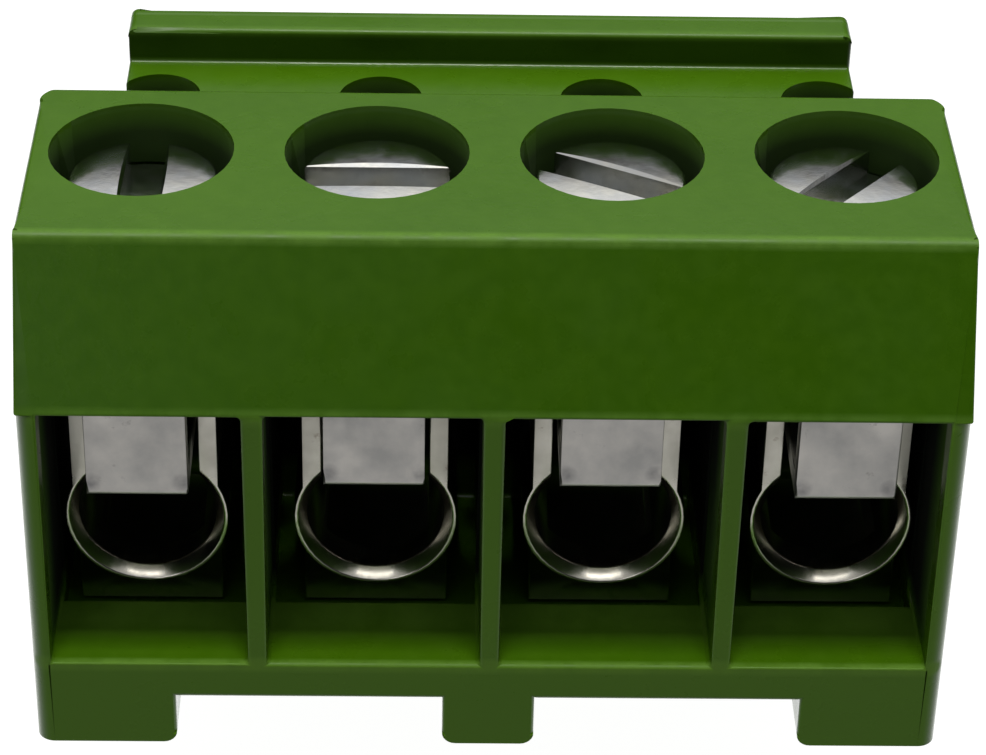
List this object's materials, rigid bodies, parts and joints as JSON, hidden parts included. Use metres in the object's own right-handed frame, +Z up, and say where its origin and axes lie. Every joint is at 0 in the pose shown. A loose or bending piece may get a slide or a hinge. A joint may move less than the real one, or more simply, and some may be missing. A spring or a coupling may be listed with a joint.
{
  "type": "screw terminal block",
  "caption": "Screw terminal block for a circuit board: side wire entries with rising clamps, slotted screws in a flat top, solder pins below.",
  "frame": {"origin": "on the board's surface, in the middle of the row of solder pins", "axes": "+X along the row of poles, -Y towards the wires, +Z up from the board"},
  "size_m": [0.02, 0.0125, 0.016],
  "materials": {
    "housing_plastic": "moulded polyamide, satin",
    "screw_steel": "zinc plated",
    "clamp_steel": "zinc plated",
    "contact_brass": "tin plated",
    "pin_brass": "tin plated"
  },
  "bodies": {
    "block": {"housing": "housing_plastic", "contact_1": "contact_brass", "solder_pin_1": "pin_brass", "contact_2": "contact_brass", "solder_pin_2": "pin_brass", "contact_3": "contact_brass", "solder_pin_3": "pin_brass", "contact_4": "contact_brass", "solder_pin_4": "pin_brass"},
    "screw_1": {"screw_1": "screw_steel"},
    "clamp_1": {"clamp_1": "clamp_steel"},
    "screw_2": {"screw_2": "screw_steel"},
    "clamp_2": {"clamp_2": "clamp_steel"},
    "screw_3": {"screw_3": "screw_steel"},
    "clamp_3": {"clamp_3": "clamp_steel"},
    "screw_4": {"screw_4": "screw_steel"},
    "clamp_4": {"clamp_4": "clamp_steel"}
  },
  "joints": [
    {"name": "screw_1_turn", "type": "hinge", "parent": "block", "child": "screw_1", "pos_m": [-0.00762, -0.00464, 0.0114], "axis": [0, 0, -1], "range_deg": [0, 2000]},
    {"name": "clamp_1_lift", "type": "slide", "parent": "block", "child": "clamp_1", "axis": [0, 0, 1], "range_m": [0, 0.0025]},
    {"name": "screw_2_turn", "type": "hinge", "parent": "block", "child": "screw_2", "pos_m": [-0.00254, -0.00464, 0.0114], "axis": [0, 0, -1], "range_deg": [0, 2000]},
    {"name": "clamp_2_lift", "type": "slide", "parent": "block", "child": "clamp_2", "axis": [0, 0, 1], "range_m": [0, 0.0025]},
    {"name": "screw_3_turn", "type": "hinge", "parent": "block", "child": "screw_3", "pos_m": [0.00254, -0.00464, 0.0114], "axis": [0, 0, -1], "range_deg": [0, 2000]},
    {"name": "clamp_3_lift", "type": "slide", "parent": "block", "child": "clamp_3", "axis": [0, 0, 1], "range_m": [0, 0.0025]},
    {"name": "screw_4_turn", "type": "hinge", "parent": "block", "child": "screw_4", "pos_m": [0.00762, -0.00464, 0.0114], "axis": [0, 0, -1], "range_deg": [0, 2000]},
    {"name": "clamp_4_lift", "type": "slide", "parent": "block", "child": "clamp_4", "axis": [0, 0, 1], "range_m": [0, 0.0025]}
  ],
  "couplings": [
    {"joint": "screw_1_turn", "follows": "clamp_1_lift", "rad_per_m": 13963},
    {"joint": "screw_2_turn", "follows": "clamp_2_lift", "rad_per_m": 13963},
    {"joint": "screw_3_turn", "follows": "clamp_3_lift", "rad_per_m": 13963},
    {"joint": "screw_4_turn", "follows": "clamp_4_lift", "rad_per_m": 13963}
  ]
}
